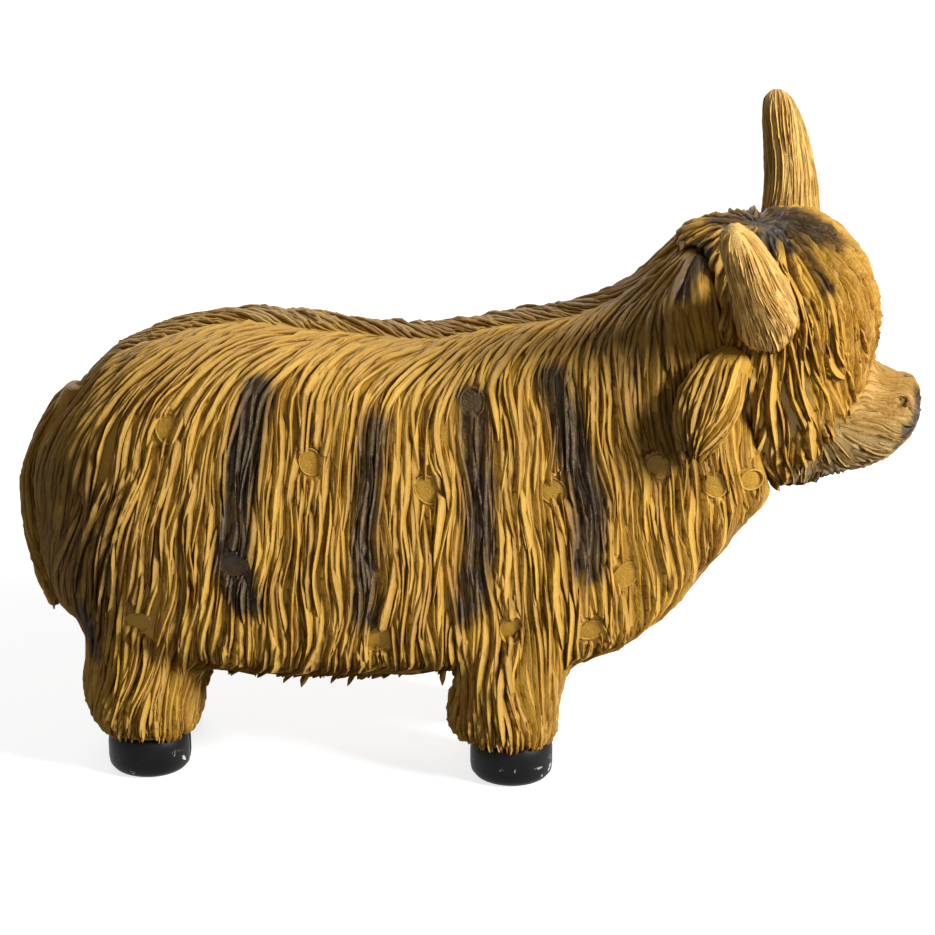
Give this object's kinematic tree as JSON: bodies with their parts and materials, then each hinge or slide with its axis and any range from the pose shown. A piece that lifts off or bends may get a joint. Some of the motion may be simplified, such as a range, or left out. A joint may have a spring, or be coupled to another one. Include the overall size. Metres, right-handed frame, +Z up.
{
  "type": "cow figurine",
  "caption": "Standing long-haired cow ornament with swept horns, a combed fringe, drooping ears and a carved striped coat, resting on its hooves.",
  "frame": {"origin": "middle of the whole figure's box, on the ground under the four hooves", "axes": "+X towards the nose, +Y to the cow's left, +Z up"},
  "size_m": [0.2974, 0.1158, 0.2243],
  "materials": {
    "coat_resin": "satin",
    "horn_resin": "satin",
    "hoof_resin": "satin"
  },
  "bodies": {
    "root": {"ear_left": "coat_resin", "ear_right": "coat_resin", "forelock": "coat_resin", "head": "coat_resin", "hoof_front_left": "hoof_resin", "hoof_front_right": "hoof_resin", "hoof_rear_left": "hoof_resin", "hoof_rear_right": "hoof_resin", "horn_left": "horn_resin", "horn_right": "horn_resin", "leg_front_left": "coat_resin", "leg_front_right": "coat_resin", "leg_rear_left": "coat_resin", "leg_rear_right": "coat_resin", "tail": "coat_resin", "torso": "coat_resin"}
  },
  "joints": []
}
